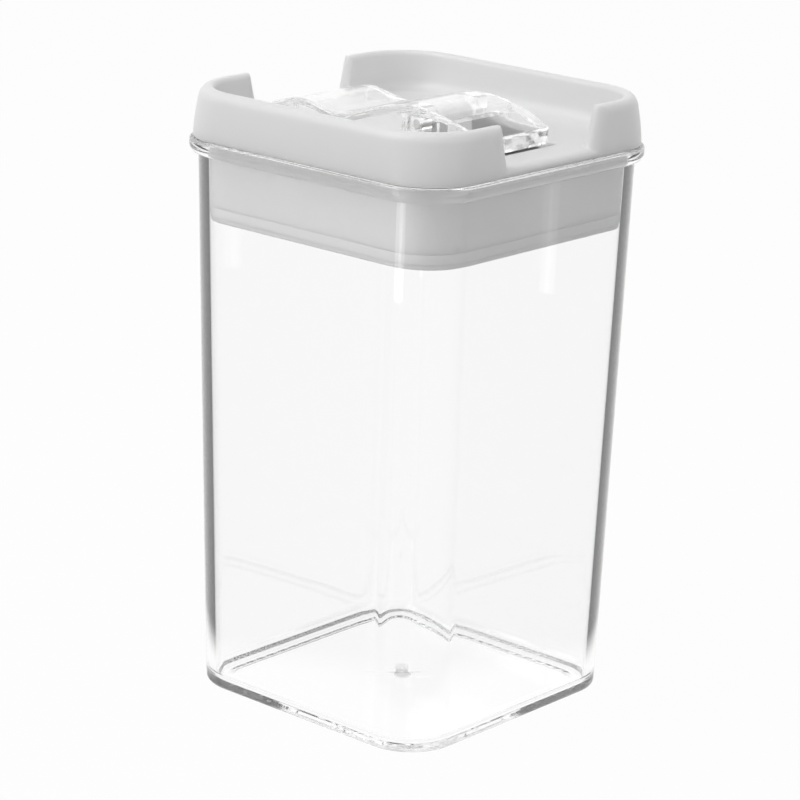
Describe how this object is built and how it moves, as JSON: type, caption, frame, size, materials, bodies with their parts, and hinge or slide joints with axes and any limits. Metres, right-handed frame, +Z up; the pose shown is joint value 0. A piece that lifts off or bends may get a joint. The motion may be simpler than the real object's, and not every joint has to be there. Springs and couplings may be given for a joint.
{
  "type": "storage jar",
  "caption": "Clear square storage jar with a white plug lid; a clear lever in the lid's tray flips up to ease the seal so that the lid lifts off.",
  "frame": {"origin": "bottom centre of the jar, on the surface that it stands on", "axes": "+Z up, the lever lies along X with its paddle towards -X, the hinge pin along Y"},
  "size_m": [0.105, 0.105, 0.1834],
  "materials": {
    "clear_jar": "clear moulded styrene acrylonitrile, polished",
    "clear_lever": "clear moulded styrene acrylonitrile, polished",
    "white_lid": "white moulded ABS, satin gloss",
    "white_pin": "white acetal, smooth",
    "white_silicone": "white silicone, soft satin",
    "steel": "bright stainless"
  },
  "bodies": {
    "jar": {"jar_body": "clear_jar"},
    "lid": {"lid_skirt": "white_lid", "lid_cover": "white_lid"},
    "plunger": {"pull_post": "white_lid", "pressure_plate": "white_lid", "plate_screws": "steel", "hinge_pin": "white_pin", "seal_ring": "white_silicone"},
    "lever": {"flip_lever": "clear_lever"}
  },
  "joints": [
    {"name": "lid_lift", "type": "slide", "parent": "jar", "child": "lid", "axis": [0, 0, 1], "range_m": [0, 0.045]},
    {"name": "plunger_drop", "type": "slide", "parent": "lid", "child": "plunger", "axis": [0, 0, -1], "range_m": [0, 0.00245], "deforming": ["seal_ring"]},
    {"name": "lever_flip", "type": "hinge", "parent": "plunger", "child": "lever", "pos_m": [0.011, 0, 0.1765], "axis": [0, 1, 0], "range_deg": [0, 70]}
  ],
  "couplings": [
    {"joint": "plunger_drop", "follows": "lever_flip", "m_per_rad": 0.002}
  ]
}
